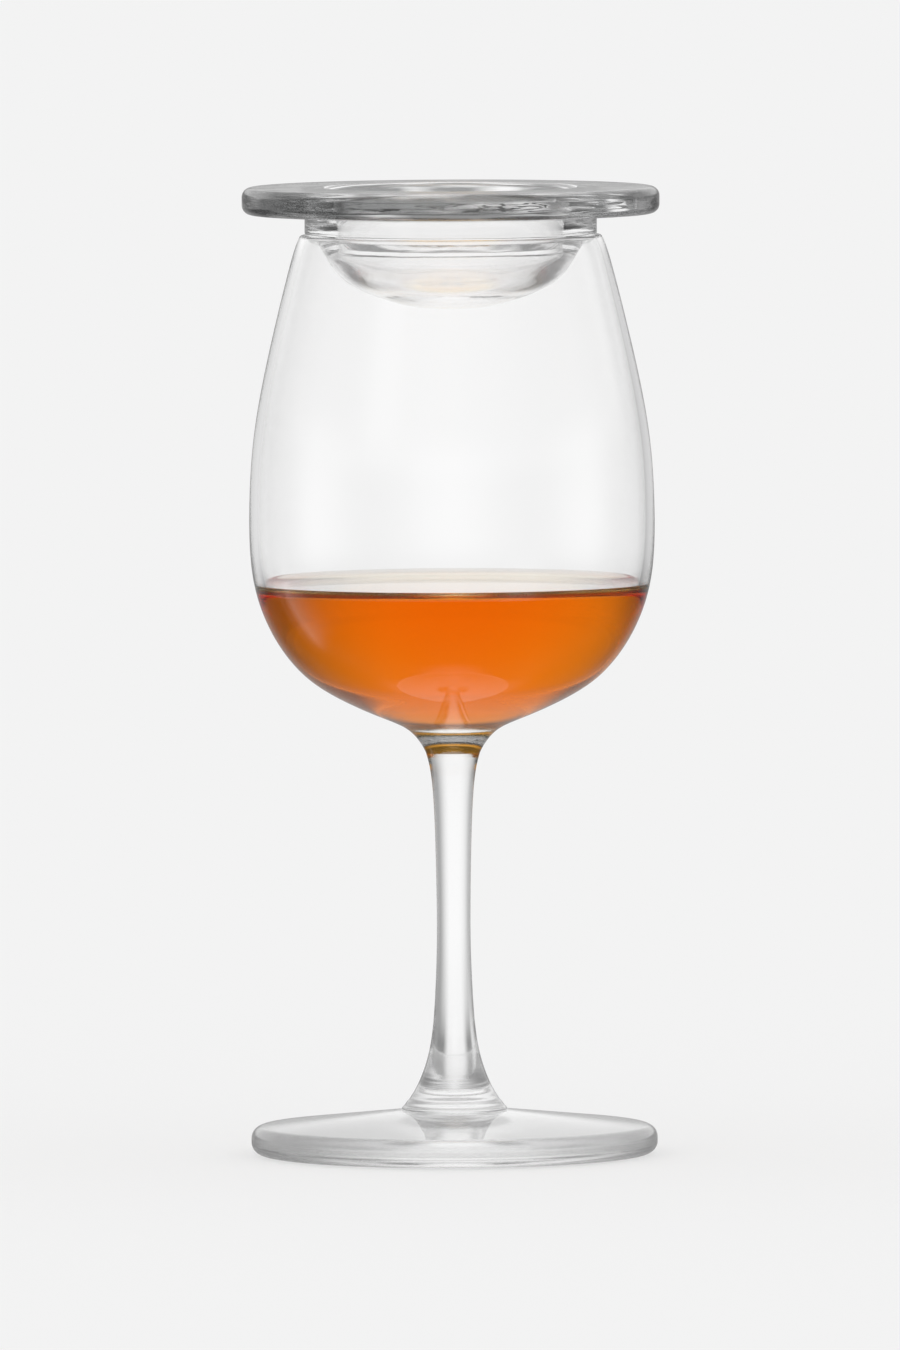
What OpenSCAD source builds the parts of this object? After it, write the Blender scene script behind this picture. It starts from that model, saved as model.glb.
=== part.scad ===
// Stemmed nosing glass for whisky, with the glass cover that lies on its mouth.
// The foot, the stem and the bowl are three gathers of glass joined hot on one axis.
// Origin: middle of the foot's flat underside. +Z is up, along the axis. Millimetres.

/* [Bowl] */
// Outside diameter of the bowl at its widest
bowl_d = 60; // [54:0.5:66]
// Height from the bowl's seam on the stem to the middle of the rim's round edge
bowl_h = 76.25; // [68:0.25:86]
// Diameter of the circle that runs along the middle of the rim
rim_d = 43.9; // [38:0.1:48]
// Thickness of the glass at the rim, whose edge is fully rounded
rim_wall = 0.96; // [0.8:0.02:1.3]
// Angle between the wall and the axis where the wall leaves the rim
rim_lean = 25; // [15:1:35]
// Length of the straight pull that leads the wall away from the rim
rim_lead = 1.5; // [1:0.1:2.5]
// Thickness of the glass at the bowl's widest place
side_wall = 1.3; // [1:0.05:1.8]
// Height of the lowest point of the bowl's inside above its seam on the stem
floor_h = 5.9; // [4.5:0.1:7]

/* [Whisky] */
// Depth of the whisky above the lowest point of the bowl's inside
fill_h = 18.2; // [8:0.2:40]

/* [Stem] */
// Height of the stem from its seam on the foot to its seam under the bowl
stem_h = 53; // [44:0.5:62]
// Diameter of the stem at its seam under the bowl
stem_top_d = 8; // [7:0.1:9]
// Diameter that the stem is drawn down to along its middle
stem_waist_d = 5; // [4:0.1:6]
// Diameter of the stem's flared base at its seam on the foot
stem_base_d = 15.2; // [13:0.1:18]

/* [Foot] */
// Diameter of the foot
foot_d = 60.2; // [54:0.2:68]
// Thickness of the foot at its edge
foot_edge_h = 4.2; // [3.6:0.1:5]
// Radius that rounds the foot's edge above and below
foot_edge_r = 1.8; // [1:0.1:2]
// Rise of the foot's top from its edge to the stem's seam
foot_rise = 2.3; // [1:0.1:4]

/* [Cover] */
// Diameter of the cover's flat flange
cover_d = 61.8; // [56:0.2:68]
// Thickness of the flange
cover_t = 4; // [3:0.1:5]
// Radius that rounds the flange's edge above and below
cover_edge_r = 1.4; // [0.8:0.1:1.8]
// Height of the collar from the flange's underside to its lowest face
collar_h = 4.05; // [3:0.05:6]
// How much wider the collar's radius is than the mouth's, so that it can't drop in
collar_over = 0.15; // [0.1:0.05:0.4]
// Radius of the collar's lower corner, which lies on the rim
collar_corner_r = 1.45; // [1:0.05:2]
// Radius of the fillet between the collar and the flange's underside
collar_root_r = 0.5; // [0.3:0.1:0.8]
// Width of the small ledge between the collar's corner and the dish
ledge_w = 0.3; // [0.2:0.05:0.6]
// Drop of the dish's outside below the collar's lowest face
dish_drop = 10.15; // [7:0.05:14]
// Thickness of the glass in the middle of the dish
dish_wall = 2.2; // [1.8:0.1:3]
// Thickness of the glass between the well and the collar, at the collar's lowest face
well_wall = 4.7; // [4:0.1:5.5]
// Draft angle of the well's side above the collar's lowest face
well_draft = 10; // [5:1:14]
// Radius that rounds the well's mouth
well_mouth_r = 1.2; // [0.6:0.1:1.8]
// Gap kept between the collar's corner and the rim that it lies on
seat_gap = 0.1; // [0.05:0.01:0.2]

/* [Hidden] */
$fn = 96;

// Straight pieces that stand for one span of a smooth curve, and for one rounded corner
span_steps = 4;
corner_steps = 6;

bowl_r = bowl_d / 2;
inside_r = bowl_r - side_wall;
stem_top_r = stem_top_d / 2;
stem_waist_r = stem_waist_d / 2;
stem_base_r = stem_base_d / 2;
foot_r = foot_d / 2;
cover_r = cover_d / 2;
lip_r = rim_wall / 2;
mouth_r = rim_d / 2 - lip_r;

// Heights, worked out upwards from the underside of the foot
foot_h = foot_edge_h + foot_rise;
stem_seam_z = foot_h + stem_h;
floor_z = stem_seam_z + floor_h;
rim_z = stem_seam_z + bowl_h;
inside_h = rim_z - floor_z;
fill_z = floor_z + fill_h;

// The collar's corner touches the rim where two circles meet
collar_r = mouth_r + collar_over;
seat_reach = collar_corner_r + lip_r + seat_gap;
seat_inset = collar_corner_r + lip_r - collar_over;
collar_z = rim_z + sqrt(seat_reach * seat_reach - seat_inset * seat_inset) - collar_corner_r;
flange_z = collar_z + collar_h;
cover_top_z = flange_z + cover_t;
dish_r = collar_r - collar_corner_r - ledge_w;
well_r = collar_r - well_wall;
well_depth = dish_drop - dish_wall;
well_mouth_top_r = well_r + (cover_top_z - collar_z) * tan(well_draft);

// Pull points of the bowl's outside below the rim: shares of its radius and of its height
belly_shares = [
    [0.800, 0.940], [0.880, 0.815], [0.980, 0.635], [1.003, 0.490], [1.000, 0.340],
    [0.910, 0.240], [0.790, 0.170], [0.645, 0.120], [0.370, 0.070]
];
// Pull points of the bowl's neck: shares of the stem's top radius and of the bowl's height
neck_shares = [[1.620, 0.050], [1.120, 0.014]];
// Pull points of the bowl's inside: shares of its inside radius and of its height over the floor
inside_shares = [
    [0.802, 0.931], [0.883, 0.795], [0.982, 0.601], [1.005, 0.448], [0.997, 0.287],
    [0.897, 0.188], [0.772, 0.122], [0.631, 0.074], [0.383, 0.021], [0.174, 0]
];
// Pull points of the stem: shares of its waist radius and of its height
stem_shares = [
    [1.28, 0.948], [1.10, 0.826], [1.03, 0.670], [0.97, 0.489], [1.09, 0.329], [1.33, 0.161]
];
// Pull points of the stem's flare: shares of its base radius and of its height
flare_shares = [[0.790, 0.040], [1.045, 0.006]];
// Pull points of the dish's outside: shares of its top radius and of its drop
dish_shares = [[0.935, 0.21], [0.865, 0.49], [0.720, 0.70], [0.480, 0.89], [0.230, 1]];
// Pull points of the well's inside: shares of its radius and of its depth
well_shares = [[0.990, 0.127], [0.940, 0.37], [0.790, 0.70], [0.545, 0.91], [0.270, 1]];

// A smooth curve that starts at the first pull point, ends at the last and is drawn
// towards the rest: the uniform cubic spline, with each end point taken three times.
function pulled(points) =
    let (last = len(points) - 1,
         p = concat([points[0], points[0]], points, [points[last], points[last]]))
    concat(
        [for (i = [0:len(p) - 4], k = [0:span_steps - 1])
            let (t = k / span_steps, s = 1 - t)
            (s * s * s * p[i]
             + (3 * t * t * t - 6 * t * t + 4) * p[i + 1]
             + (3 * s * s * s - 6 * s * s + 4) * p[i + 2]
             + t * t * t * p[i + 3]) / 6],
        [points[last]]);

// Points along a rounded corner, from one angle to another about its centre
function corner(centre, r, from, to) =
    [for (k = [0:corner_steps])
        let (a = from + (to - from) * k / corner_steps)
        centre + r * [cos(a), sin(a)]];

function reversed(points) = [for (k = [len(points) - 1:-1:0]) points[k]];

// Points of a table of shares, in millimetres
function at_shares(shares, r, z, h) = [for (s = shares) [s[0] * r, z + s[1] * h]];

rim_centre = [rim_d / 2, rim_z];
rim_side = [cos(rim_lean), sin(rim_lean)];
rim_down = [sin(rim_lean), -cos(rim_lean)];

// The bowl's outside from the rim down to the seam, and its inside from the rim to the floor
outside_curve = pulled(concat(
    [rim_centre + lip_r * rim_side, rim_centre + lip_r * rim_side + rim_lead * rim_down],
    at_shares(belly_shares, bowl_r, stem_seam_z, bowl_h),
    at_shares(neck_shares, stem_top_r, stem_seam_z, bowl_h),
    [[stem_top_r, stem_seam_z]]));
inside_curve = pulled(concat(
    [rim_centre - lip_r * rim_side, rim_centre - lip_r * rim_side + rim_lead * rim_down],
    at_shares(inside_shares, inside_r, floor_z, inside_h),
    [[0, floor_z]]));

stem_curve = pulled(concat(
    [[stem_top_r, stem_seam_z]],
    at_shares(stem_shares, stem_waist_r, foot_h, stem_h),
    at_shares(flare_shares, stem_base_r, foot_h, stem_h),
    [[stem_base_r, foot_h]]));

dish_curve = pulled(concat(
    [[dish_r, collar_z]],
    at_shares(dish_shares, dish_r, collar_z, -dish_drop),
    [[0, collar_z - dish_drop]]));
well_curve = pulled(concat(
    [[well_r, collar_z]],
    at_shares(well_shares, well_r, collar_z, -well_depth),
    [[0, collar_z - well_depth]]));

module turned(points) {
    rotate_extrude() polygon(points);
}

// Spun disc: flat below, rounded edge, and a top that rises gently to the stem
module foot() {
    edge_r = min(foot_edge_r, foot_edge_h / 2);
    slope = atan(foot_rise / (foot_r - edge_r - stem_base_r));
    color([0.86, 0.90, 0.91, 0.5])
    turned(concat(
        [[0, 0]],
        corner([foot_r - edge_r, edge_r], edge_r, -90, 0),
        corner([foot_r - edge_r, foot_edge_h - edge_r], edge_r, 0, 90 - slope),
        [[stem_base_r, foot_h], [0, foot_h]]));
}

// Drawn column: round at the top seam, slim along the middle, flared on to the foot
module stem() {
    color([0.84, 0.88, 0.90, 0.5])
    turned(concat([[0, foot_h], [0, stem_seam_z]], stem_curve));
}

// Blown bowl: thin wall drawn in to the mouth, thicker towards its floor
module bowl() {
    color([0.88, 0.92, 0.93, 0.4])
    turned(concat(
        [[0, stem_seam_z], [0, floor_z]],
        reversed([for (p = inside_curve) if (p[0] > 0) p]),
        corner(rim_centre, lip_r, 180 + rim_lean, rim_lean),
        [for (k = [1:len(outside_curve) - 1]) outside_curve[k]]));
}

// The pour, which fills the bowl's inside up to a level surface
module whisky() {
    color([0.91, 0.45, 0.04, 0.8])
    rotate_extrude()
    intersection() {
        polygon(concat([[0, rim_z]], inside_curve));
        translate([0, floor_z]) square([bowl_r, fill_h]);
    }
}

// Pressed cover: flange, collar that lies in the mouth, and a dished well open at the top
module cover() {
    edge_r = min(cover_edge_r, cover_t / 2);
    mouth_slant = (90 + well_draft) / 2;
    mouth_inset = well_mouth_r / tan(mouth_slant);
    color([0.83, 0.87, 0.88, 0.5])
    turned(concat(
        reversed(well_curve),
        corner([well_mouth_top_r + mouth_inset, cover_top_z - well_mouth_r],
               well_mouth_r, 180 - well_draft, 90),
        corner([cover_r - edge_r, cover_top_z - edge_r], edge_r, 90, 0),
        corner([cover_r - edge_r, flange_z + edge_r], edge_r, 0, -90),
        corner([collar_r + collar_root_r, flange_z - collar_root_r], collar_root_r, 90, 180),
        corner([collar_r - collar_corner_r, collar_z + collar_corner_r],
               collar_corner_r, 0, -90),
        dish_curve));
}

foot();
stem();
bowl();
whisky();
cover();
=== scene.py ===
"""Studio look of a whisky nosing glass with its glass cover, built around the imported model.

The glass, the pour and the cover are solids of revolution about +Z. Each is a profile in
(radius, height) that is turned round the axis, with exact normals, so that it bends light
as smooth glass does. Lengths are in metres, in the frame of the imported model.
"""

import math

import bpy
import numpy as np
from mathutils import Euler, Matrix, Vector


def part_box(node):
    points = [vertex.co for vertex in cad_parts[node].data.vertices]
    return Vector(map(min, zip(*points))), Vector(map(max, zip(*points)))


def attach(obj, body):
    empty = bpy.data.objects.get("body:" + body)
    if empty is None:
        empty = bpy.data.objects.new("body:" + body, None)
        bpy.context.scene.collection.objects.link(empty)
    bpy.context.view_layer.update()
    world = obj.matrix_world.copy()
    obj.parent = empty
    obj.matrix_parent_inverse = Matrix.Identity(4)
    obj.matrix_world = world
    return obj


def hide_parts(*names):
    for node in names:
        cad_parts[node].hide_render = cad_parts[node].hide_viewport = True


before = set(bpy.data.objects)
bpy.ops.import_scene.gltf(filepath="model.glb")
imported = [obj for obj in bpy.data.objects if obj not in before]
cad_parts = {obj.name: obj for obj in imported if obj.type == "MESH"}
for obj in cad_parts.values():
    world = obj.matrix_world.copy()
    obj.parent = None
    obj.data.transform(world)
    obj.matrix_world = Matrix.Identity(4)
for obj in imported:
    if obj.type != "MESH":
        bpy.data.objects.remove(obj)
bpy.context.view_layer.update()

bl_info = {
    "name": "Whisky Nosing Glass",
    "version": (1, 0, 0),
    "blender": (4, 5, 0),
    "location": "View3D > Sidebar > Nosing Glass",
    "description": "Builds a nosing glass, its pour of whisky and its glass cover",
    "category": "Add Mesh",
}

MM = 0.001

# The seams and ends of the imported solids, from which every profile below starts
FOOT_LOW, FOOT_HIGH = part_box("foot")
STEM_LOW, STEM_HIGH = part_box("stem")
BOWL_LOW, BOWL_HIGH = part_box("bowl")
POUR_LOW, POUR_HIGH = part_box("whisky")
COVER_LOW, COVER_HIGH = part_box("cover")

# Faces round the axis, and straight pieces for one span of a curve and for one corner
AROUND = 192
SPAN_STEPS = 12
CORNER_STEPS = 14
# Straight pieces across the foot's underside, across its ringed top and across the flange
UNDERSIDE_STEPS = 6
FOOT_STEPS = 150
FLANGE_STEPS = 12
# The stem's lowest spans carry the tool rings, on pieces that are this many times finer
RINGED_SPANS = 4
RING_FINENESS = 4
# Points on the pour's level: where it climbs the wall, and from there to the middle
CLIMB_POINTS = 40
LEVEL_POINTS = 20
# Sides of the round floor
FLOOR_SIDES = 96

# Pull points of the bowl's outside under the rim: shares of its radius and of its height
BELLY_SHARES = [
    (0.800, 0.940), (0.880, 0.815), (0.980, 0.635), (1.003, 0.490), (1.000, 0.340),
    (0.910, 0.240), (0.790, 0.170), (0.645, 0.120), (0.370, 0.070),
]
# Pull points of the bowl's neck: shares of the stem's top radius and of the bowl's height
NECK_SHARES = [(1.620, 0.050), (1.120, 0.014)]
# Pull points of the bowl's inside: shares of its inside radius and height over the floor
INSIDE_SHARES = [
    (0.802, 0.931), (0.883, 0.795), (0.982, 0.601), (1.005, 0.448), (0.997, 0.287),
    (0.897, 0.188), (0.772, 0.122), (0.631, 0.074), (0.383, 0.021), (0.174, 0),
]
# Pull points of the stem: shares of its waist radius and of its height
STEM_SHARES = [
    (1.28, 0.948), (1.10, 0.826), (1.03, 0.670), (0.97, 0.489), (1.09, 0.329), (1.33, 0.161),
]
# Pull points of the stem's flare: shares of its base radius and of the stem's height
FLARE_SHARES = [(0.790, 0.040), (1.045, 0.006)]
# Pull points of the dish's outside: shares of its top radius and of its drop
DISH_SHARES = [(0.935, 0.21), (0.865, 0.49), (0.720, 0.70), (0.480, 0.89), (0.230, 1)]
# Pull points of the well's inside: shares of its radius and of its depth
WELL_SHARES = [(0.990, 0.127), (0.940, 0.37), (0.790, 0.70), (0.545, 0.91), (0.270, 1)]

# Studio light as rings, from the lowest up: (degrees over the horizon where the ring starts to
# show, where it has taken over, [(degrees aside of straight behind the glass, brightness), ...]).
# Left of the glass is negative, and the lowest ring has no start.
# What the glass bends
BENT_RINGS = [
    # Straight down: bright behind and in front, dark at the sides
    (None, None, [
        (-180, 0.9), (-140, 0.7), (-108, 0.3), (-78, 0.25), (-45, 0.6), (0, 1), (45, 0.6),
        (78, 0.25), (108, 0.3), (140, 0.7), (180, 0.9),
    ]),
    # Half way down: three bright strips, two behind and one in front, with dark gaps between
    (-60, -46, [
        (-180, 0.35), (-140, 0.3), (-100, 0.2), (-75, 0.2), (-61, 0.4), (-53, 0.78),
        (-43, 0.78), (-36, 0.25), (-27, 0.25), (-17, 0.88), (0, 0.95), (11, 0.85), (20, 0.22),
        (34, 0.22), (42, 0.3), (70, 0.15), (112, 0.2), (122, 0.4), (129, 0.75), (141, 0.75),
        (150, 0.45), (180, 0.35),
    ]),
    # Round the horizon: bright screens on four sides with darker corners between
    (-18, -4, [
        (-180, 0.95), (-167, 0.85), (-151, 0.55), (-135, 0.35), (-123, 0.45), (-107, 0.8),
        (-93, 0.95), (-84, 0.85), (-75, 0.6), (-66, 0.45), (-57, 0.42), (-46, 0.5), (-38, 0.68),
        (-30, 0.85), (-22, 0.95), (-14, 1), (10, 1), (18, 0.88), (25, 0.7), (32, 0.52),
        (40, 0.36), (52, 0.34), (63, 0.4), (73, 0.6), (82, 0.85), (90, 0.95), (104, 0.8),
        (120, 0.45), (132, 0.35), (148, 0.55), (164, 0.85), (180, 0.95),
    ]),
    # Over the horizon: bright behind, softer in front, dark at both sides
    (2, 24, [
        (-180, 0.8), (-130, 0.5), (-105, 0.2), (-75, 0.18), (-55, 0.4), (-42, 0.68), (-30, 0.85),
        (-15, 1), (0, 1), (12, 0.98), (25, 0.75), (38, 0.52), (52, 0.3), (75, 0.15), (105, 0.15),
        (130, 0.3), (152, 0.6), (180, 0.8),
    ]),
    # High up: dim
    (43, 52, [(-180, 0.3), (-60, 0.12), (60, 0.12), (180, 0.3)]),
]
# What the glass mirrors
MIRRORED_RINGS = [
    # Straight down: half bright all round
    (None, None, [(-180, 0.5), (180, 0.5)]),
    # Steeply down: a bright patch behind, and the dark room all round it
    (-84, -74, [
        (-180, 0.02), (-60, 0.02), (-35, 0.3), (-20, 0.8), (20, 0.8), (35, 0.3), (60, 0.02),
        (180, 0.02),
    ]),
    # Over it the patch is dimmer and narrower
    (-64, -56, [
        (-180, 0.02), (-50, 0.02), (-30, 0.08), (-18, 0.3), (0, 0.45), (18, 0.3), (30, 0.08),
        (50, 0.02), (180, 0.02),
    ]),
    # Less steeply down: the same patch, and one soft panel at the left
    (-42, -32, [
        (-180, 0.02), (-130, 0.03), (-105, 0.04), (-90, 0.1), (-80, 0.3), (-64, 0.9),
        (-58, 0.15), (-50, 0.02), (-30, 0.08), (-18, 0.3), (0, 0.45), (18, 0.3), (30, 0.08),
        (50, 0.02), (180, 0.02),
    ]),
    # Just under the horizon: brightest at both sides of the glass, with dark strips behind it
    (-12, -4, [
        (-180, 0.5), (-115, 0.4), (-90, 0.5), (-65, 0.8), (-48, 0.7), (-34, 0.3), (-24, 0.2),
        (-12, 0.35), (0, 0.45), (12, 0.35), (24, 0.2), (34, 0.3), (48, 0.6), (65, 0.7),
        (90, 0.4), (115, 0.4), (180, 0.5),
    ]),
    # Over the horizon: bright all round
    (2.5, 9, [(-180, 1), (180, 1)]),
]
# Most mirrorings and bendings of one light path: light that enters the glass flat, as in the
# foot, goes round in it many times
MOST_MIRRORED = 24
MOST_BENT = 32

# Places of the Mix node's two colours and of the colour that it gives
COLOUR_A, COLOUR_B, COLOUR_OUT = 6, 7, 2
# Name of the surface node in every glass material
GLASS_NODE = "glass"
WHITE = (1, 1, 1, 1)
BLACK = (0, 0, 0, 1)
# Strength of each finer layer of noise, as a share of the layer before
FINER_SHARE = 0.4


def length_prop(label, description, default):
    """A length that the user can change, in metres."""
    return bpy.props.FloatProperty(
        name=label, description=description, default=default, min=0, subtype="DISTANCE",
        unit="LENGTH", precision=5,
    )


def angle_prop(label, description, degrees):
    """An angle that the user can change, held in radians."""
    return bpy.props.FloatProperty(
        name=label, description=description, default=math.radians(degrees), subtype="ANGLE",
        unit="ROTATION",
    )


def number_prop(label, description, default):
    """A plain number that the user can change."""
    return bpy.props.FloatProperty(
        name=label, description=description, default=default, precision=4
    )


def hex_prop(label, description, default):
    """A colour that the user can change, as an sRGB hex value."""
    return bpy.props.StringProperty(name=label, description=description, default=default)


class NosingGlassSizes(bpy.types.PropertyGroup):
    """Sizes of the foot, the stem and the bowl."""

    foot_edge_h: length_prop("Foot edge", "Thickness of the foot at its edge", 4.2 * MM)
    foot_edge_r: length_prop("Foot edge radius", "Radius that rounds the foot's edge", 1.8 * MM)
    stem_top_d: length_prop("Stem top", "Diameter of the stem under the bowl", 8 * MM)
    stem_waist_d: length_prop("Stem waist", "Diameter of the stem's slim middle", 5 * MM)
    stem_base_d: length_prop("Stem base", "Diameter of the stem's flare on the foot", 15.2 * MM)
    ring_depth: length_prop("Tool rings", "Depth of the rings at the stem's base", 0.05 * MM)
    foot_ring_depth: length_prop("Foot rings", "Depth of the rings on the foot", 0.01 * MM)
    ring_pitch: length_prop("Tool ring pitch", "Distance from one tool ring to the next", 1.2 * MM)
    ring_reach: length_prop("Tool ring reach", "Distance over which the rings fade", 2.5 * MM)
    neck_h: length_prop("Neck", "Height of the bowl's drawn neck over the stem", 4.5 * MM)
    bowl_d: length_prop("Bowl", "Outside diameter of the bowl at its widest", 60 * MM)
    side_wall: length_prop("Side wall", "Glass thickness at the bowl's widest", 1.3 * MM)
    rim_d: length_prop("Rim", "Diameter of the circle along the rim's middle", 43.9 * MM)
    rim_wall: length_prop("Rim wall", "Glass thickness at the rounded rim", 0.96 * MM)
    rim_lean: angle_prop("Rim lean", "Angle between the wall and the axis at the rim", 25)
    rim_lead: length_prop("Rim lead", "Straight pull that leads the wall off the rim", 1.5 * MM)


class NosingCoverSizes(bpy.types.PropertyGroup):
    """Sizes of the cover: its flange, collar, dish and well."""

    thickness: length_prop("Flange", "Thickness of the flat flange", 4 * MM)
    edge_r: length_prop("Flange edge radius", "Radius that rounds the flange", 1.4 * MM)
    collar_h: length_prop("Collar", "Height of the collar under the flange", 4.05 * MM)
    collar_over: length_prop("Collar overlap", "How far the collar laps the mouth", 0.15 * MM)
    corner_r: length_prop("Collar corner", "Radius of the corner on the rim", 1.45 * MM)
    root_r: length_prop("Collar root", "Radius between collar and flange", 0.5 * MM)
    ledge_w: length_prop("Ledge", "Width between the collar's corner and the dish", 0.3 * MM)
    dish_wall: length_prop("Dish wall", "Glass thickness in the middle of the dish", 2.2 * MM)
    well_wall: length_prop("Well wall", "Glass between the well and the collar", 4.7 * MM)
    well_draft: angle_prop("Well draft", "Draft angle of the well's side", 10)
    mouth_r: length_prop("Well mouth", "Radius that rounds the well's mouth", 1.2 * MM)


class NosingPour(bpy.types.PropertyGroup):
    """The whisky: how it wets the glass, and how deep its colour is."""

    wetting: length_prop("Wetting", "How far the pour reaches into the wall", 0.12 * MM)
    climb: length_prop("Meniscus rise", "Height that the pour climbs the wall", 1.2 * MM)
    reach: length_prop("Meniscus width", "Distance over which the climb fades", 1.2 * MM)
    faded: number_prop("Meniscus end", "Widths from the wall to where the level is flat", 6)
    least_piece: length_prop("Least piece", "Shortest piece under the pour's edge", 0.05 * MM)
    colour: hex_prop("Colour", "Colour that a depth of the pour leaves of white light", "#fddb00")
    density: number_prop("Density", "How strongly the pour drinks light, per metre", 125)
    ior: number_prop("IOR", "Refractive index of whisky at 40 % alcohol", 1.36)


class NosingFinish(bpy.types.PropertyGroup):
    """The crystal glass, and how its drawn and polished faces are finished."""

    tint: hex_prop("Tint", "Faint colour that the glass gives to light", "#fefefe")
    ior: number_prop("IOR", "Refractive index of lead-free crystal glass", 1.52)
    drawn: number_prop("Drawn glass", "Roughness of the drawn stem and neck", 0.12)
    underside: number_prop("Underside", "Roughness of the foot's acid-polished underside", 0.22)


class NosingPress(bpy.types.PropertyGroup):
    """Relief that pressing leaves in the cover's glass, and streaks of painted shade on the
    flange's edge.
    """

    ripple_l: length_prop("Ripple length", "Length of the cover's ripples", 7 * MM)
    ripple_h: length_prop("Ripple height", "Distance from one ripple up to the next", 3 * MM)
    ripple_depth: length_prop("Ripple depth", "Depth of the cover's ripples", 0.05 * MM)
    edge_l: length_prop("Edge ripple length", "Length of the ripples on the edge", 12 * MM)
    edge_h: length_prop("Edge ripple height", "Distance from one edge ripple to the next", 1.6 * MM)
    edge_depth: length_prop("Edge ripple depth", "Depth of the ripples on the edge", 0.25 * MM)
    # Streaks of painted shade on the flange's edge: a tint from dark grey to clear that stands for
    # the dark room that the rippled glass bends into view
    streak_l: length_prop("Streak length", "Length of the edge's streaks", 16 * MM)
    streak_h: length_prop("Streak height", "Distance from one streak up to the next", 2.5 * MM)
    streak_place: number_prop("Streak place", "Streaks that the pattern is moved up by", 21.7)
    streak_turn: angle_prop("Streak turn", "Turn of the pattern round the axis", -17.2)
    dark: hex_prop("Painted shade streaks", "Colour of the darkest streaks", "#565757")
    clear: hex_prop("Clear streaks", "Colour of the glass between them", "#ffffff")
    dark_at: number_prop("Dark noise", "Noise up to which a streak is darkest", 0.4)
    clear_at: number_prop("Clear noise", "Noise from which the glass is clear", 0.64)


class NosingStudio(bpy.types.PropertyGroup):
    """The floor, the surroundings and the camera."""

    backdrop: hex_prop("Backdrop", "Colour of the floor and of what lies behind", "#f3f3f3")
    floor_r: length_prop("Floor radius", "Radius of the round floor", 6)
    floor_fill: number_prop("Floor fill", "Share of plain backdrop in what the camera sees", 0.55)
    floor_drop: length_prop("Floor drop", "Gap between the floor and the foot", 0.2 * MM)
    distance: length_prop("Camera distance", "Distance from the axis", 3.41)
    height: length_prop("Camera height", "Height of the camera over the floor", 0.268)
    aim_z: length_prop("Aim height", "Height on the axis at the picture's middle", 71 * MM)
    aim_x: length_prop("Aim offset", "How far left of the axis the camera aims", 0.39 * MM)
    sensor: number_prop("Sensor", "Long side of the camera's picture in millimetres", 36)
    lens: number_prop("Lens", "Focal length of the camera in millimetres", 615.2)
    roll: angle_prop("Roll", "Turn of the camera about its own line of sight", 0.25)


def linear(hex_colour):
    """The linear RGBA colour of an sRGB hex value."""
    channels = [int(hex_colour[k:k + 2], 16) / 255 for k in (1, 3, 5)]
    low, slope, offset, power = 0.04045, 12.92, 0.055, 2.4
    return tuple(
        c / slope if c <= low else ((c + offset) / (1 + offset)) ** power for c in channels
    ) + (1,)


def add(tree, kind, inputs=None, **settings):
    """Adds a node of one kind with its settings, and sets or links its inputs."""
    node = tree.nodes.new(kind)
    for name, value in settings.items():
        setattr(node, name, value)
    for name, value in (inputs or {}).items():
        if isinstance(value, bpy.types.NodeSocket):
            tree.links.new(value, node.inputs[name])
        else:
            node.inputs[name].default_value = value
    return node


def new_material(name):
    """An empty node material and its output node."""
    material = bpy.data.materials.new(name)
    material.use_nodes = True
    material.node_tree.nodes.clear()
    return material, add(material.node_tree, "ShaderNodeOutputMaterial")


def pulled(points, steps=SPAN_STEPS):
    """Smooth curve from the first pull point to the last, drawn towards the rest.

    It is the uniform cubic spline with each end point taken three times: in each span the
    four nearest points are weighed by (s^3, 3t^3 - 6t^2 + 4, 3s^3 - 6s^2 + 4, t^3) / 6,
    where t runs from 0 to 1 and s is 1 - t.
    """
    points = np.array(points, float)
    p = np.vstack([points[:1], points[:1], points, points[-1:], points[-1:]])
    t = np.arange(steps) / steps
    s = 1 - t
    weights = np.array([s**3, 3 * t**3 - 6 * t**2 + 4, 3 * s**3 - 6 * s**2 + 4, t**3]) / 6
    spans = np.stack([p[k:len(p) - 3 + k] for k in range(4)])
    curve = np.einsum("kt,kni->nti", weights, spans).reshape(-1, 2)
    return np.vstack([curve, points[-1:]])


def corner(centre, radius, start, end):
    """Round corner: centre + radius (cos a, sin a) for a from start to end, in degrees."""
    a = np.radians(np.linspace(start, end, CORNER_STEPS + 1))
    return np.array(centre) + radius * np.column_stack([np.cos(a), np.sin(a)])


def at_shares(shares, radius, low, height):
    """Points of a table of shares: (share * radius, low + share * height)."""
    return np.array(shares, float) * (radius, height) + (0, low)


def straight(start, end, steps=1):
    """Evenly spaced points on the straight line from start to end."""
    return np.linspace(start, end, steps + 1)


def run_normals(points):
    """Outward normals of one smooth run: its way of travel turned a quarter to the right.

    The way at a point is half the step from the point before to the one after. At an end it
    is 2 (b - a) - (c - a) / 2, where a is the end point and b and c come after it.
    """
    if len(points) == 2:
        way = np.diff(points, axis=0).repeat(2, 0)
    else:
        way = np.gradient(points, axis=0)
        way[0] = 2 * (points[1] - points[0]) - (points[2] - points[0]) / 2
        way[-1] = 2 * (points[-1] - points[-2]) - (points[-1] - points[-3]) / 2
    way /= np.linalg.norm(way, axis=1, keepdims=True)
    return np.column_stack([way[:, 1], -way[:, 0]])


def carried(pairs, angles):
    """Pairs (r, z), points or normals, carried to (r cos a, r sin a, z) for each angle a."""
    return np.stack(
        [pairs[:, :1] * np.cos(angles), pairs[:, :1] * np.sin(angles),
         np.repeat(pairs[:, 1:], len(angles), 1)], axis=2)


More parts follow.
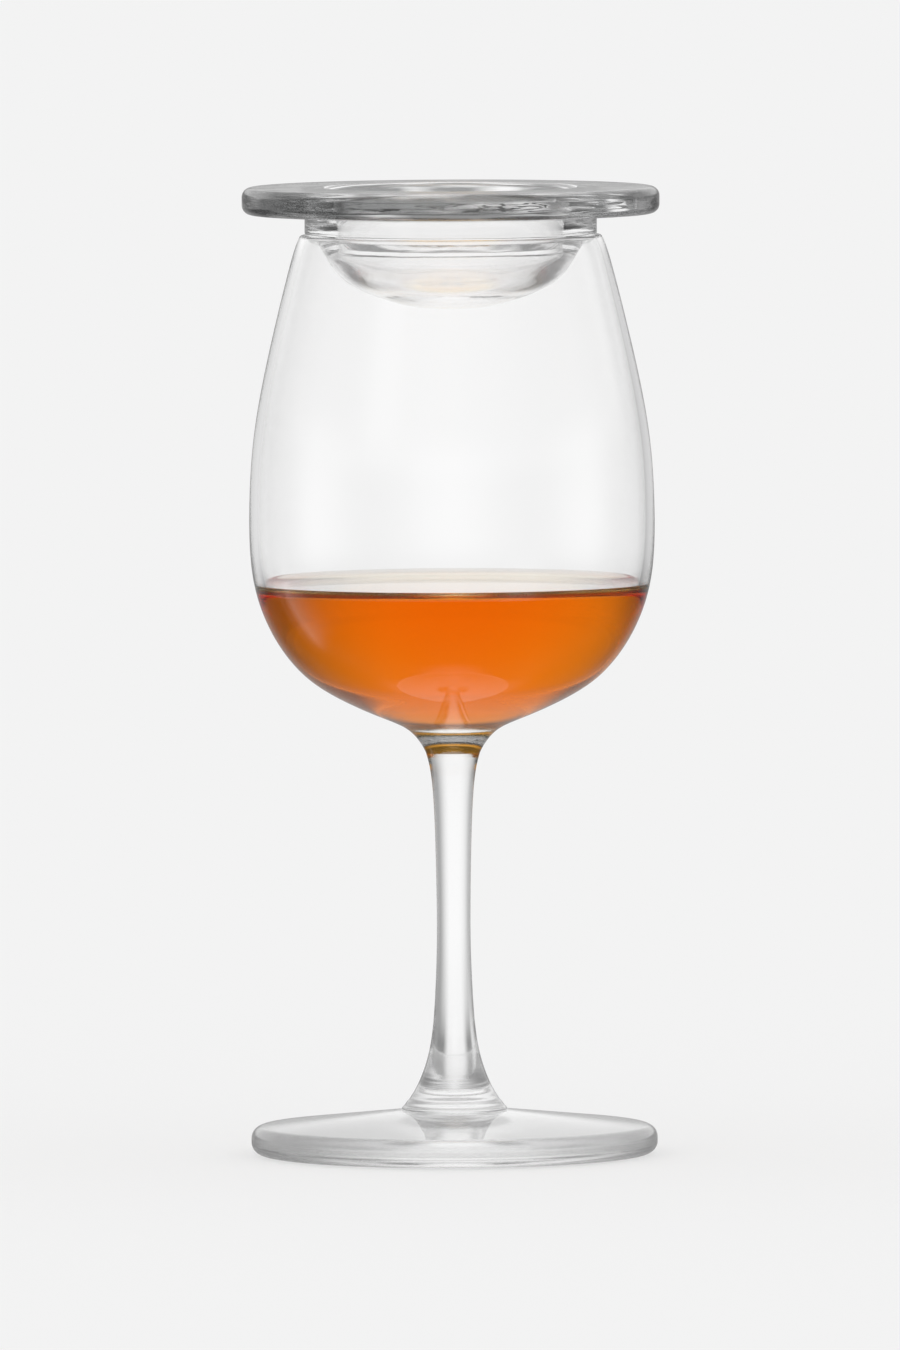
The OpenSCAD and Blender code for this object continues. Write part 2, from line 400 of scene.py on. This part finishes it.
def turned(name, runs, materials):
    """Solid of revolution: profile point (r, z) goes to (r cos a, r sin a, z) for each angle a.

    runs is a list of (points, face), and materials gives the material of each face by its
    name. A run starts where the last one ended; the first starts on the axis and the last
    ends there. Normals are smooth along a run and break between runs.
    """
    profile = np.vstack([runs[0][0][:1]] + [points[1:] for points, _ in runs])
    starts = np.vstack([run_normals(points)[:-1] for points, _ in runs])
    ends = np.vstack([run_normals(points)[1:] for points, _ in runs])
    order = list(materials)
    slots = np.concatenate([np.full(len(points) - 1, order.index(face)) for points, face in runs])

    here = np.arange(AROUND)
    after = (here + 1) % AROUND
    left = 2 * math.pi * here / AROUND
    right = left[after]
    rings = profile[1:-1]
    ring_points = carried(rings, left).reshape(-1, 3)
    poles = [(0, 0, profile[0, 1]), (0, 0, profile[-1, 1])]
    low_pole, high_pole = len(ring_points), len(ring_points) + 1

    base = (np.arange(len(rings) - 1) * AROUND)[:, None]
    top = (len(rings) - 1) * AROUND
    quads = np.stack([base + here, base + after, base + AROUND + after, base + AROUND + here], 2)
    low_fan = np.column_stack([np.full(AROUND, low_pole), after, here])
    high_fan = np.column_stack([top + here, top + after, np.full(AROUND, high_pole)])

    wall = [
        carried(starts[1:-1], left), carried(starts[1:-1], right),
        carried(ends[1:-1], right), carried(ends[1:-1], left),
    ]
    low = [carried(starts[:1], left), carried(ends[:1], right), carried(ends[:1], left)]
    high = [carried(starts[-1:], left), carried(starts[-1:], right), carried(ends[-1:], left)]
    normals = [np.stack(corners, axis=2).reshape(-1, 3) for corners in (wall, low, high)]

    mesh = bpy.data.meshes.new(name)
    faces = quads.reshape(-1, 4).tolist() + low_fan.tolist() + high_fan.tolist()
    mesh.from_pydata(np.vstack([ring_points, poles]).tolist(), [], faces)
    for material in materials.values():
        mesh.materials.append(material)
    face_slots = np.concatenate([slots[1:-1], slots[:1], slots[-1:]]).repeat(AROUND)
    mesh.polygons.foreach_set("material_index", face_slots.astype(np.int32))
    mesh.polygons.foreach_set("use_smooth", np.ones(len(faces), bool))
    mesh.update()
    mesh.normals_split_custom_set(np.vstack(normals).tolist())
    piece = bpy.data.objects.new(name, mesh)
    bpy.context.scene.collection.objects.link(piece)
    return piece


def seat(piece, body, node):
    """The piece rides on its body and stands for its CAD node, which is hidden."""
    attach(piece, body)
    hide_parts(node)


def stretched_noise(tree, along, up, place=0, turn=0, detail=2):
    """Noise in object coordinates, in grains that are along wide and up high.

    It is moved up by place grains and turned about the axis by turn.
    """
    point = add(tree, "ShaderNodeTexCoord")
    spread = add(tree, "ShaderNodeMapping", {
        "Vector": point.outputs["Object"], "Scale": (1 / along, 1 / along, 1 / up),
        "Location": (0, 0, place), "Rotation": (0, 0, turn),
    })
    return add(tree, "ShaderNodeTexNoise", {
        "Vector": spread.outputs[0], "Scale": 1, "Detail": detail, "Roughness": FINER_SHARE,
    }).outputs[0]


def crystal_glass(name, finish, roughness=0):
    """Lead-free crystal glass, clear and almost without colour.

    The eye doesn't see the glass but what it bends and mirrors: bright where it faces a screen
    of the studio and dark where it turns to the room beside one.
    """
    material, out = new_material(name)
    tree = material.node_tree
    shader = add(tree, "ShaderNodeBsdfPrincipled", {
        "Base Color": linear(finish.tint), "Roughness": roughness, "IOR": finish.ior,
        "Transmission Weight": 1,
    }, name=GLASS_NODE)
    tree.links.new(shader.outputs[0], out.inputs["Surface"])
    return material


def fire_polished_glass(name, finish):
    """Crystal glass, blown or spun and fire-polished: it has no grain, so the lights that it
    bends and mirrors have crisp edges.
    """
    return crystal_glass(name, finish)


def drawn_glass(name, finish):
    """Crystal glass, drawn out hot. Its draw lines are much too fine to show, so a little
    roughness stands for them: the light in the stem melts into soft upright bands.
    """
    return crystal_glass(name, finish, finish.drawn)


def acid_polished_glass(name, finish):
    """Crystal glass, ground flat and acid-polished: what shows through it is slightly blurred."""
    return crystal_glass(name, finish, finish.underside)


def wetted_glass(name, finish):
    """Fire-polished crystal glass under the pour. Whisky bends light nearly as glass does, so
    this face hardly mirrors and the eye loses it: its specular tint is black.
    """
    material = crystal_glass(name, finish)
    material.node_tree.nodes[GLASS_NODE].inputs["Specular Tint"].default_value = BLACK
    return material


def pressed_glass(name, finish, along, up, depth):
    """Crystal glass, pressed in a mould, which chills its skin into low ripples: edges and
    lights seen through it waver. Real ripples are finer, and these are drawn as coarse as they
    need to show.
    """
    material = crystal_glass(name, finish)
    tree = material.node_tree
    ripples = add(tree, "ShaderNodeBump", {
        "Height": stretched_noise(tree, along, up), "Distance": depth,
    })
    tree.links.new(ripples.outputs[0], tree.nodes[GLASS_NODE].inputs["Normal"])
    return material


def shade_streaked_glass(name, finish, press):
    """Pressed crystal glass at the flange's edge, with rippled relief and painted shade: long grey
    streaks with clear ones between, which stand for the dark room that the glass bends into view.

    The painted shade is a tint that goes from dark to clear with the noise, drawn in streaks as
    coarse as they need to show.
    """
    material = pressed_glass(name, finish, press.edge_l, press.edge_h, press.edge_depth)
    tree = material.node_tree
    # Painted shade: noise turned into grey streaks in the glass's colour, where the bent room would
    # look dark
    noise = stretched_noise(
        tree, press.streak_l, press.streak_h, press.streak_place, press.streak_turn, detail=3)
    share = add(tree, "ShaderNodeMapRange", {
        "Value": noise, "From Min": press.dark_at, "From Max": press.clear_at,
    }, interpolation_type="SMOOTHSTEP")
    tint = add(tree, "ShaderNodeMix", {
        0: share.outputs[0], COLOUR_A: linear(press.dark), COLOUR_B: linear(press.clear),
    }, data_type="RGBA")
    tree.links.new(tint.outputs[COLOUR_OUT], tree.nodes[GLASS_NODE].inputs["Base Color"])
    return material


def fused_seam(name):
    """The inside of a hot joint, where nothing can be seen: the glass runs through."""
    material, out = new_material(name)
    shader = add(material.node_tree, "ShaderNodeBsdfTransparent")
    material.node_tree.links.new(shader.outputs[0], out.inputs["Surface"])
    return material


def aged_whisky(pour):
    """Whisky at 40 % alcohol, amber from its cask: clear, pale where it is shallow and deep
    orange where light crosses much of it, because it drinks blue first and then green.

    Its sides lie on glass and don't mirror, so its own gloss is black and the gloss of its
    level top is a coat, which starts at the height of the pour.
    """
    material, out = new_material("aged whisky")
    tree = material.node_tree
    point = add(tree, "ShaderNodeTexCoord")
    height = add(tree, "ShaderNodeSeparateXYZ", {0: point.outputs["Object"]})
    top = add(tree, "ShaderNodeMath", {
        0: height.outputs["Z"], 1: POUR_HIGH.z - pour.wetting,
    }, operation="GREATER_THAN")
    shader = add(tree, "ShaderNodeBsdfPrincipled", {
        "Base Color": WHITE, "Roughness": 0, "IOR": pour.ior, "Transmission Weight": 1,
        "Specular Tint": BLACK, "Coat Weight": top.outputs[0], "Coat Roughness": 0,
        "Coat IOR": pour.ior,
    })
    depth = add(tree, "ShaderNodeVolumeAbsorption", {
        "Color": linear(pour.colour), "Density": pour.density,
    })
    tree.links.new(shader.outputs[0], out.inputs["Surface"])
    tree.links.new(depth.outputs[0], out.inputs["Volume"])
    return material


def ringed(points, sizes, depth):
    """The run moved sideways by the rings that the tool leaves beside the joint at its start.

    At distance s along the run they stand depth * sin(2 pi s / pitch) * exp(-(s / reach)^2) high.
    """
    steps = np.linalg.norm(np.diff(points, axis=0), axis=1)
    s = np.concatenate([[0], np.cumsum(steps)])
    wave = np.sin(2 * math.pi * s / sizes.ring_pitch) * np.exp(-((s / sizes.ring_reach) ** 2))
    return points + run_normals(points) * (depth * wave)[:, None]


def foot_profile(sizes):
    """Flat underside, rounded edge, a top that rises gently, and the seam under the stem."""
    radius, top = FOOT_HIGH.x, FOOT_HIGH.z
    edge_r, edge_h = sizes.foot_edge_r, sizes.foot_edge_h
    base_r = sizes.stem_base_d / 2
    slope = math.degrees(math.atan2(top - edge_h, radius - edge_r - base_r))
    low = corner((radius - edge_r, edge_r), edge_r, -90, 0)
    high = corner((radius - edge_r, edge_h - edge_r), edge_r, 0, 90 - slope)
    rise = straight(high[-1], (base_r, top), FOOT_STEPS)[1:]
    rise = ringed(rise[::-1], sizes, sizes.foot_ring_depth)[::-1]
    under = np.vstack([straight((0, 0), low[0], UNDERSIDE_STEPS), low[1:], high[:1]])
    side = np.vstack([high, rise])
    return [(under, "underside"), (side, "skin"), (straight((base_r, top), (0, top)), "seam")]


def stem_profile(sizes):
    """Seam on the foot, the flare drawn up into the slim column, and the seam under the bowl.

    The curve is made fine for the tool rings and thinned out again above them.
    """
    low, high = STEM_LOW.z, STEM_HIGH.z
    top_r, base_r = sizes.stem_top_d / 2, sizes.stem_base_d / 2
    curve = pulled(np.vstack([
        [(top_r, high)],
        at_shares(STEM_SHARES, sizes.stem_waist_d / 2, low, high - low),
        at_shares(FLARE_SHARES, base_r, low, high - low),
        [(base_r, low)],
    ]), RING_FINENESS * SPAN_STEPS)[::-1]
    place = np.arange(len(curve))
    by_joint = place < RINGED_SPANS * RING_FINENESS * SPAN_STEPS
    curve = ringed(curve, sizes, sizes.ring_depth)[by_joint | (place % RING_FINENESS == 0)]
    return [
        (straight((0, low), (base_r, low)), "seam"),
        (curve, "skin"),
        (straight((top_r, high), (0, high)), "seam"),
    ]


def rim_frame(sizes):
    """Middle of the rim's round edge, its radius, and the ways across and down the wall."""
    lip_r = sizes.rim_wall / 2
    centre = np.array([sizes.rim_d / 2, BOWL_HIGH.z - lip_r])
    across = np.array([math.cos(sizes.rim_lean), math.sin(sizes.rim_lean)])
    down = np.array([math.sin(sizes.rim_lean), -math.cos(sizes.rim_lean)])
    return centre, lip_r, across, down


def bowl_outside(sizes):
    """The bowl's outside, from the rim down to the seam on the stem."""
    centre, lip_r, across, down = rim_frame(sizes)
    seam, height = BOWL_LOW.z, centre[1] - BOWL_LOW.z
    edge = centre + lip_r * across
    return pulled(np.vstack([
        [edge, edge + sizes.rim_lead * down],
        at_shares(BELLY_SHARES, sizes.bowl_d / 2, seam, height),
        at_shares(NECK_SHARES, sizes.stem_top_d / 2, seam, height),
        [(sizes.stem_top_d / 2, seam)],
    ]))


def bowl_inside(sizes):
    """The bowl's inside, from the rim down to the middle of its floor."""
    centre, lip_r, across, down = rim_frame(sizes)
    floor = POUR_LOW.z
    edge = centre - lip_r * across
    return pulled(np.vstack([
        [edge, edge + sizes.rim_lead * down],
        at_shares(INSIDE_SHARES, sizes.bowl_d / 2 - sizes.side_wall, floor, centre[1] - floor),
        [(0, floor)],
    ]))


def bowl_profile(sizes):
    """Seam on the stem, drawn neck, skin over the lip and down inside, and the wetted inside."""
    centre, lip_r, _, _ = rim_frame(sizes)
    lean = math.degrees(sizes.rim_lean)
    outside = bowl_outside(sizes)[::-1]
    neck_end = np.searchsorted(outside[:, 1], BOWL_LOW.z + sizes.neck_h)
    lip = corner(centre, lip_r, lean, 180 + lean)
    inside = bowl_inside(sizes)
    wet = inside[inside[:, 1] <= POUR_HIGH.z]
    dry = inside[inside[:, 1] > POUR_HIGH.z]
    return [
        (straight((0, BOWL_LOW.z), outside[0]), "seam"),
        (outside[:neck_end + 1], "neck"),
        (np.vstack([outside[neck_end:], lip[1:], dry[1:], wet[:1]]), "skin"),
        (wet, "wetted"),
    ]


def pour_profile(sizes, pour):
    """The wetted inside, moved out into the wall, and a level top that climbs at the wall.

    The top is fill height + climb * exp(-(wall radius - r) / reach).
    """
    inside = bowl_inside(sizes)[::-1]
    fill, top = POUR_HIGH.z, POUR_HIGH.z + pour.climb
    wet = inside[inside[:, 1] < top - pour.least_piece]
    edge = (np.interp(top, inside[:, 1], inside[:, 0]), top)
    shell = np.vstack([wet, [edge]])
    side = shell + pour.wetting * run_normals(inside)[:len(shell)]
    side[0, 0] = 0
    faded = pour.faded * pour.reach
    away = np.concatenate([
        np.linspace(0, faded, CLIMB_POINTS)[1:],
        np.linspace(faded, edge[0], LEVEL_POINTS)[1:],
    ])
    level = np.column_stack([
        np.maximum(edge[0] - away, 0), fill + pour.climb * np.exp(-away / pour.reach)
    ])
    return [(side, "liquid"), (np.vstack([side[-1:], [edge], level]), "liquid")]


def cover_profile(sizes, cover):
    """Dish, collar with its round corner, flange, and the dished well open at the top."""
    centre, lip_r, _, _ = rim_frame(sizes)
    top, radius = COVER_HIGH.z, COVER_HIGH.x
    flange = top - cover.thickness
    collar = flange - cover.collar_h
    collar_r = centre[0] - lip_r + cover.collar_over
    corner_r, root_r, edge_r = cover.corner_r, cover.root_r, cover.edge_r
    low_corner = corner((collar_r - corner_r, collar + corner_r), corner_r, -90, 0)
    root = corner((collar_r + root_r, flange - root_r), root_r, 180, 90)
    low_edge = corner((radius - edge_r, flange + edge_r), edge_r, -90, 0)
    high_edge = corner((radius - edge_r, top - edge_r), edge_r, 0, 90)
    under = straight(root[-1], low_edge[0], FLANGE_STEPS)

    dish_r = collar_r - corner_r - cover.ledge_w
    drop = collar - COVER_LOW.z
    dish = pulled(np.vstack([
        [(dish_r, collar)], at_shares(DISH_SHARES, dish_r, collar, -drop), [(0, collar - drop)],
    ]))[::-1]

    well_r = collar_r - cover.well_wall
    depth = drop - cover.dish_wall
    well = pulled(np.vstack([
        [(well_r, collar)], at_shares(WELL_SHARES, well_r, collar, -depth), [(0, collar - depth)],
    ]))
    draft = math.degrees(cover.well_draft)
    mouth_r = cover.mouth_r
    mouth_top_r = well_r + (top - collar) * math.tan(cover.well_draft)
    mouth_inset = mouth_r / math.tan(math.radians(90 + draft) / 2)
    mouth = corner((mouth_top_r + mouth_inset, top - mouth_r), mouth_r, 90, 180 - draft)
    over = straight(high_edge[-1], mouth[0], FLANGE_STEPS)
    return [
        (dish, "skin"),
        (straight(dish[-1], low_corner[0]), "skin"),
        (np.vstack([low_corner, root, under[1:]]), "skin"),
        (np.vstack([low_edge, high_edge]), "edge"),
        (np.vstack([over, mouth[1:], well]), "skin"),
    ]


class NOSING_OT_foot(bpy.types.Operator):
    """Make the spun foot."""

    bl_idname = "nosing.foot"
    bl_label = "Foot"

    def execute(self, context):
        scene = context.scene
        finish = scene.nosing_finish
        piece = turned("spun_foot", foot_profile(scene.nosing_sizes), {
            "skin": fire_polished_glass("fire-polished foot glass", finish),
            "seam": fused_seam("fused seam of the foot"),
            "underside": acid_polished_glass("acid-polished underside", finish),
        })
        seat(piece, "glass", "foot")
        return {"FINISHED"}


class NOSING_OT_stem(bpy.types.Operator):
    """Make the drawn stem."""

    bl_idname = "nosing.stem"
    bl_label = "Stem"

    def execute(self, context):
        scene = context.scene
        piece = turned("drawn_stem", stem_profile(scene.nosing_sizes), {
            "skin": drawn_glass("drawn stem glass", scene.nosing_finish),
            "seam": fused_seam("fused seams of the stem"),
        })
        seat(piece, "glass", "stem")
        return {"FINISHED"}


class NOSING_OT_bowl(bpy.types.Operator):
    """Make the blown bowl."""

    bl_idname = "nosing.bowl"
    bl_label = "Bowl"

    def execute(self, context):
        scene = context.scene
        finish = scene.nosing_finish
        piece = turned("blown_bowl", bowl_profile(scene.nosing_sizes), {
            "skin": fire_polished_glass("blown bowl glass", finish),
            "seam": fused_seam("fused seam of the bowl"),
            "wetted": wetted_glass("wetted bowl glass", finish),
            "neck": drawn_glass("drawn neck glass", finish),
        })
        seat(piece, "glass", "bowl")
        return {"FINISHED"}


class NOSING_OT_pour(bpy.types.Operator):
    """Make the pour of whisky."""

    bl_idname = "nosing.pour"
    bl_label = "Whisky"

    def execute(self, context):
        scene = context.scene
        pour = scene.nosing_pour
        piece = turned("whisky_pour", pour_profile(scene.nosing_sizes, pour), {
            "liquid": aged_whisky(pour),
        })
        seat(piece, "glass", "whisky")
        return {"FINISHED"}


class NOSING_OT_cover(bpy.types.Operator):
    """Make the pressed cover."""

    bl_idname = "nosing.cover"
    bl_label = "Cover"

    def execute(self, context):
        scene = context.scene
        finish, press = scene.nosing_finish, scene.nosing_press
        ripples = (press.ripple_l, press.ripple_h, press.ripple_depth)
        piece = turned("pressed_cover", cover_profile(scene.nosing_sizes, scene.nosing_cover), {
            "skin": pressed_glass("pressed cover glass", finish, *ripples),
            # The flange's edge carries streaks of painted shade in its colour
            "edge": shade_streaked_glass("pressed flange glass with painted shade", finish, press),
        })
        seat(piece, "cover", "cover")
        return {"FINISHED"}


def white_paper(studio):
    """Matt white paper, lit softly from all round, so that the glass throws a faint shadow.

    The glass doesn't show it: it shows the studio light below the horizon.
    """
    material, out = new_material("matt white paper")
    tree = material.node_tree
    matt = add(tree, "ShaderNodeBsdfDiffuse", {"Color": linear(studio.backdrop)})
    plain = add(tree, "ShaderNodeEmission", {"Color": linear(studio.backdrop)})
    clear = add(tree, "ShaderNodeBsdfTransparent")
    path = add(tree, "ShaderNodeLightPath")
    share = add(tree, "ShaderNodeMath", {
        0: path.outputs["Is Camera Ray"], 1: studio.floor_fill,
    }, operation="MULTIPLY")
    seen = add(tree, "ShaderNodeMixShader", {
        0: share.outputs[0], 1: matt.outputs[0], 2: plain.outputs[0],
    })
    by_glass = add(tree, "ShaderNodeMath", {
        0: path.outputs["Is Glossy Ray"], 1: path.outputs["Is Transmission Ray"],
    }, operation="MAXIMUM")
    mix = add(tree, "ShaderNodeMixShader", {
        0: by_glass.outputs[0], 1: seen.outputs[0], 2: clear.outputs[0],
    })
    tree.links.new(mix.outputs[0], out.inputs["Surface"])
    return material


def light_round(tree, turn, stops):
    """Brightness all round, from stops in degrees: turn is 0 at -180 and 1 at 180."""
    ramp = add(tree, "ShaderNodeValToRGB", {"Fac": turn})
    elements = ramp.color_ramp.elements
    # A new stop starts half way round, and the next loop gives it its place
    while len(elements) < len(stops):
        elements.new(0.5)
    for element, (angle, light) in zip(elements, stops):
        element.position = (angle + 180) / 360
        element.color = (light, light, light, 1)
    return ramp.outputs["Color"]


def light_shell(tree, turn, rise, rings):
    """Rings of light one over the other, from the lowest up: each blends into the next."""
    shell = None
    for start, full, stops in rings:
        ring = light_round(tree, turn, stops)
        if shell is None:
            shell = ring
            continue
        share = add(tree, "ShaderNodeMapRange", {
            "Value": rise, "From Min": math.radians(start), "From Max": math.radians(full),
        }, interpolation_type="SMOOTHSTEP")
        blend = add(tree, "ShaderNodeMix", {
            0: share.outputs[0], COLOUR_A: shell, COLOUR_B: ring,
        }, data_type="RGBA")
        shell = blend.outputs[COLOUR_OUT]
    return shell


def light_world(studio):
    """Studio light by direction: what the glass bends, what it mirrors, and an even white.

    The even white lights the paper, also through the glass, and the camera sees the backdrop.
    """
    world = bpy.data.worlds.new("studio")
    world.use_nodes = True
    tree = world.node_tree
    tree.nodes.clear()
    path = add(tree, "ShaderNodeLightPath")
    place = add(tree, "ShaderNodeTexCoord")
    way = add(tree, "ShaderNodeSeparateXYZ", {0: place.outputs["Generated"]})
    azimuth = add(tree, "ShaderNodeMath", {
        0: way.outputs["X"], 1: way.outputs["Y"],
    }, operation="ARCTAN2")
    turn = add(tree, "ShaderNodeMapRange", {
        "Value": azimuth.outputs[0], "From Min": -math.pi, "From Max": math.pi,
    })
    rise = add(tree, "ShaderNodeMath", {0: way.outputs["Z"]}, operation="ARCSINE")
    bent = light_shell(tree, turn.outputs[0], rise.outputs[0], BENT_RINGS)
    mirrored = light_shell(tree, turn.outputs[0], rise.outputs[0], MIRRORED_RINGS)
    by_glass = add(tree, "ShaderNodeMix", {
        0: path.outputs["Is Transmission Ray"], COLOUR_A: mirrored, COLOUR_B: bent,
    }, data_type="RGBA")
    off_paper = add(tree, "ShaderNodeMath", {
        0: path.outputs["Diffuse Depth"], 1: 1,
    }, operation="LESS_THAN")
    shaped = add(tree, "ShaderNodeMath", {
        0: path.outputs["Is Glossy Ray"], 1: off_paper.outputs[0],
    }, operation="MULTIPLY")
    seen = add(tree, "ShaderNodeMix", {
        0: shaped.outputs[0], COLOUR_A: WHITE, COLOUR_B: by_glass.outputs[COLOUR_OUT],
    }, data_type="RGBA")
    shown = add(tree, "ShaderNodeMix", {
        0: path.outputs["Is Camera Ray"], COLOUR_A: seen.outputs[COLOUR_OUT],
        COLOUR_B: linear(studio.backdrop),
    }, data_type="RGBA")
    light = add(tree, "ShaderNodeBackground", {"Color": shown.outputs[COLOUR_OUT]})
    add(tree, "ShaderNodeOutputWorld", {"Surface": light.outputs[0]})
    bpy.context.scene.world = world


def round_floor(studio):
    """Flat disc: one face on the points (r cos a, r sin a) for angles a all round."""
    turns = 2 * math.pi * np.arange(FLOOR_SIDES) / FLOOR_SIDES
    rim = np.column_stack([np.cos(turns), np.sin(turns)]) * studio.floor_r
    points = np.column_stack([rim, np.full(FLOOR_SIDES, -studio.floor_drop)])
    mesh = bpy.data.meshes.new("floor")
    mesh.from_pydata(points.tolist(), [], [list(range(FLOOR_SIDES))])
    mesh.materials.append(white_paper(studio))
    floor = bpy.data.objects.new("floor", mesh)
    bpy.context.scene.collection.objects.link(floor)


def place_camera(studio):
    """Camera far in front of the glass with a long lens, as a packshot is taken."""
    data = bpy.data.cameras.new("camera")
    data.lens = studio.lens
    data.sensor_width = studio.sensor
    camera = bpy.data.objects.new("camera", data)
    bpy.context.scene.collection.objects.link(camera)
    camera.location = (0, -studio.distance, studio.height)
    aim = Vector((-studio.aim_x, 0, studio.aim_z)) - camera.location
    camera.rotation_mode = "QUATERNION"
    camera.rotation_quaternion = (
        aim.to_track_quat("-Z", "Y") @ Euler((0, 0, -studio.roll)).to_quaternion()
    )
    bpy.context.scene.camera = camera


class NOSING_OT_studio(bpy.types.Operator):
    """Set the floor, the surroundings and the camera."""

    bl_idname = "nosing.studio"
    bl_label = "Studio"

    def execute(self, context):
        studio = context.scene.nosing_studio
        round_floor(studio)
        light_world(studio)
        place_camera(studio)
        context.scene.view_settings.view_transform = "Standard"
        context.scene.cycles.glossy_bounces = MOST_MIRRORED
        context.scene.cycles.transmission_bounces = MOST_BENT
        context.scene.cycles.max_bounces = MOST_MIRRORED + MOST_BENT
        return {"FINISHED"}


class NOSING_PT_panel(bpy.types.Panel):
    """Lists the pieces of the glass and the studio."""

    bl_idname = "NOSING_PT_panel"
    bl_label = "Whisky Nosing Glass"
    bl_space_type = "VIEW_3D"
    bl_region_type = "UI"
    bl_category = "Nosing Glass"

    def draw(self, context):
        for operator in OPERATORS:
            self.layout.operator(operator.bl_idname)
        for name in GROUPS:
            group = getattr(context.scene, name)
            box = self.layout.box()
            for prop in group.bl_rna.properties:
                if not prop.is_readonly and prop.identifier != "name":
                    box.prop(group, prop.identifier)


GROUPS = {
    "nosing_sizes": NosingGlassSizes,
    "nosing_cover": NosingCoverSizes,
    "nosing_pour": NosingPour,
    "nosing_finish": NosingFinish,
    "nosing_press": NosingPress,
    "nosing_studio": NosingStudio,
}
OPERATORS = [
    NOSING_OT_foot, NOSING_OT_stem, NOSING_OT_bowl, NOSING_OT_pour, NOSING_OT_cover,
    NOSING_OT_studio,
]
CLASSES = [*GROUPS.values(), *OPERATORS, NOSING_PT_panel]


def register():
    """Registers the classes and puts each group of settings on the scene."""
    for cls in CLASSES:
        bpy.utils.register_class(cls)
    for name, group in GROUPS.items():
        setattr(bpy.types.Scene, name, bpy.props.PointerProperty(type=group))


def unregister():
    """Takes away what register added."""
    for name in GROUPS:
        delattr(bpy.types.Scene, name)
    for cls in reversed(CLASSES):
        bpy.utils.unregister_class(cls)


def main():
    register()
    bpy.ops.nosing.foot()
    bpy.ops.nosing.stem()
    bpy.ops.nosing.bowl()
    bpy.ops.nosing.pour()
    bpy.ops.nosing.cover()
    bpy.ops.nosing.studio()


if __name__ == "__main__":
    main()
